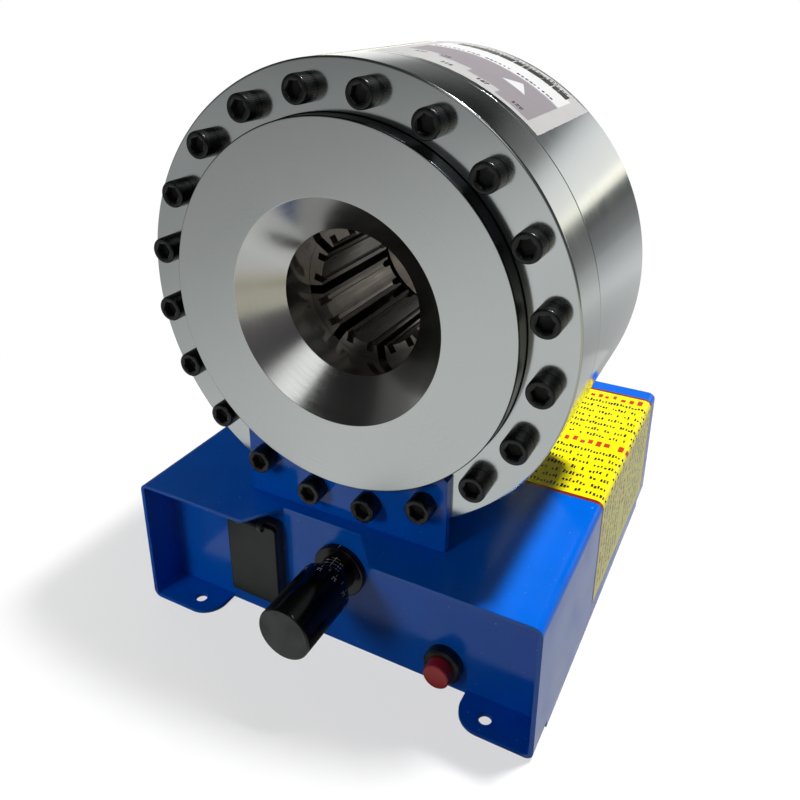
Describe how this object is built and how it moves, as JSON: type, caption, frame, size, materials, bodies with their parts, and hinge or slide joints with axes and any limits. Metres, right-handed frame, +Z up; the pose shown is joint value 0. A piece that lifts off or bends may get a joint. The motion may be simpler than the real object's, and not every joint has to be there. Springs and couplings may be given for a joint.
{
  "type": "hose crimping machine",
  "caption": "Bench hydraulic hose crimper: round bolted head with a conical mouth and closing dies, on a folded sheet base with a setting dial, push button and flap switch.",
  "frame": {"origin": "centre of the four foot holes, on the floor under the base", "axes": "+Z up, the mouth and the controls face -Y, +X to the right seen from the front"},
  "size_m": [0.314, 0.368, 0.415],
  "materials": {
    "blue_enamel": "gloss",
    "polished_steel": "polished",
    "satin_steel": "satin",
    "black_oxide": "satin",
    "die_steel": "satin",
    "black_plastic": "gloss",
    "red_plastic": "gloss",
    "green_plastic": "gloss",
    "seal_rubber": "matte",
    "zinc_steel": "satin",
    "motor_grey": "satin",
    "grey_plastic": "matte"
  },
  "bodies": {
    "base": {"base_channel": "blue_enamel", "front_panel": "blue_enamel", "rear_panel": "blue_enamel", "front_support_plate": "blue_enamel", "rear_support_plate": "blue_enamel", "front_flange": "polished_steel", "mouth_plate": "satin_steel", "cylinder_body": "polished_steel", "flange_screws": "black_oxide", "rear_plate_screws": "black_oxide", "rear_cover": "satin_steel", "rear_cover_screws": "black_oxide", "dial_collar": "black_plastic", "dial_sleeve": "black_plastic", "dial_nut": "zinc_steel", "switch_bracket": "zinc_steel", "limit_switch": "grey_plastic", "button_bezel": "black_plastic", "button_nut": "black_plastic", "button_contact": "grey_plastic", "switch_frame": "black_plastic", "flap_pin": "zinc_steel", "pump_block": "zinc_steel", "oil_nipple": "zinc_steel", "pump_motor": "motor_grey", "oil_tank": "motor_grey", "cable_gland": "black_plastic"},
    "piston": {"piston": "satin_steel", "piston_seals": "seal_rubber"},
    "dial_rod": {"dial_rod": "zinc_steel"},
    "thimble": {"dial_thimble": "black_plastic"},
    "button": {"button_cap": "red_plastic"},
    "flap": {"switch_flap": "black_plastic"},
    "start_pad": {"start_pad": "green_plastic"},
    "stop_pad": {"stop_pad": "red_plastic"},
    "die_1": {"die_1": "die_steel", "die_key_1": "zinc_steel"},
    "die_2": {"die_2": "die_steel", "die_key_2": "zinc_steel"},
    "die_3": {"die_3": "die_steel", "die_key_3": "zinc_steel"},
    "die_4": {"die_4": "die_steel", "die_key_4": "zinc_steel"},
    "die_5": {"die_5": "die_steel", "die_key_5": "zinc_steel"},
    "die_6": {"die_6": "die_steel", "die_key_6": "zinc_steel"},
    "die_7": {"die_7": "die_steel", "die_key_7": "zinc_steel"},
    "die_8": {"die_8": "die_steel", "die_key_8": "zinc_steel"}
  },
  "joints": [
    {"name": "piston_slide", "type": "slide", "parent": "base", "child": "piston", "axis": [0, -1, 0], "range_m": [0, 0.026]},
    {"name": "die_1_slide", "type": "slide", "parent": "base", "child": "die_1", "axis": [-0.8526, 0, -0.5225], "range_m": [0, 0.007]},
    {"name": "die_2_slide", "type": "slide", "parent": "base", "child": "die_2", "axis": [-0.2334, 0, -0.9724], "range_m": [0, 0.007]},
    {"name": "die_3_slide", "type": "slide", "parent": "base", "child": "die_3", "axis": [0.5225, 0, -0.8526], "range_m": [0, 0.007]},
    {"name": "die_4_slide", "type": "slide", "parent": "base", "child": "die_4", "axis": [0.9724, 0, -0.2334], "range_m": [0, 0.007]},
    {"name": "die_5_slide", "type": "slide", "parent": "base", "child": "die_5", "axis": [0.8526, 0, 0.5225], "range_m": [0, 0.007]},
    {"name": "die_6_slide", "type": "slide", "parent": "base", "child": "die_6", "axis": [0.2334, 0, 0.9724], "range_m": [0, 0.007]},
    {"name": "die_7_slide", "type": "slide", "parent": "base", "child": "die_7", "axis": [-0.5225, 0, 0.8526], "range_m": [0, 0.007]},
    {"name": "die_8_slide", "type": "slide", "parent": "base", "child": "die_8", "axis": [-0.9724, 0, 0.2334], "range_m": [0, 0.007]},
    {"name": "dial_travel", "type": "slide", "parent": "base", "child": "dial_rod", "axis": [0, 1, 0], "range_m": [-0.004, 0.004]},
    {"name": "dial_turn", "type": "hinge", "parent": "dial_rod", "child": "thimble", "pos_m": [0.0015, -0.1785, 0.068], "axis": [0, 1, 0], "range_deg": [-721, 721]},
    {"name": "button_press", "type": "slide", "parent": "base", "child": "button", "axis": [0, 1, 0], "range_m": [0, 0.003], "stiffness_N_per_m": 800, "springref_m": -0.003},
    {"name": "flap_hinge", "type": "hinge", "parent": "base", "child": "flap", "pos_m": [-0.0695, -0.1448, 0.0878], "axis": [-1, 0, 0], "range_deg": [0, 75]},
    {"name": "start_press", "type": "slide", "parent": "base", "child": "start_pad", "axis": [0, 1, 0], "range_m": [0, 0.002], "stiffness_N_per_m": 500, "springref_m": -0.002},
    {"name": "stop_press", "type": "slide", "parent": "base", "child": "stop_pad", "axis": [0, 1, 0], "range_m": [0, 0.002], "stiffness_N_per_m": 500, "springref_m": -0.002}
  ],
  "couplings": [
    {"joint": "die_1_slide", "follows": "piston_slide", "ratio": 0.26795},
    {"joint": "die_2_slide", "follows": "piston_slide", "ratio": 0.26795},
    {"joint": "die_3_slide", "follows": "piston_slide", "ratio": 0.26795},
    {"joint": "die_4_slide", "follows": "piston_slide", "ratio": 0.26795},
    {"joint": "die_5_slide", "follows": "piston_slide", "ratio": 0.26795},
    {"joint": "die_6_slide", "follows": "piston_slide", "ratio": 0.26795},
    {"joint": "die_7_slide", "follows": "piston_slide", "ratio": 0.26795},
    {"joint": "die_8_slide", "follows": "piston_slide", "ratio": 0.26795},
    {"joint": "dial_turn", "follows": "dial_travel", "rad_per_m": 3141.6}
  ]
}
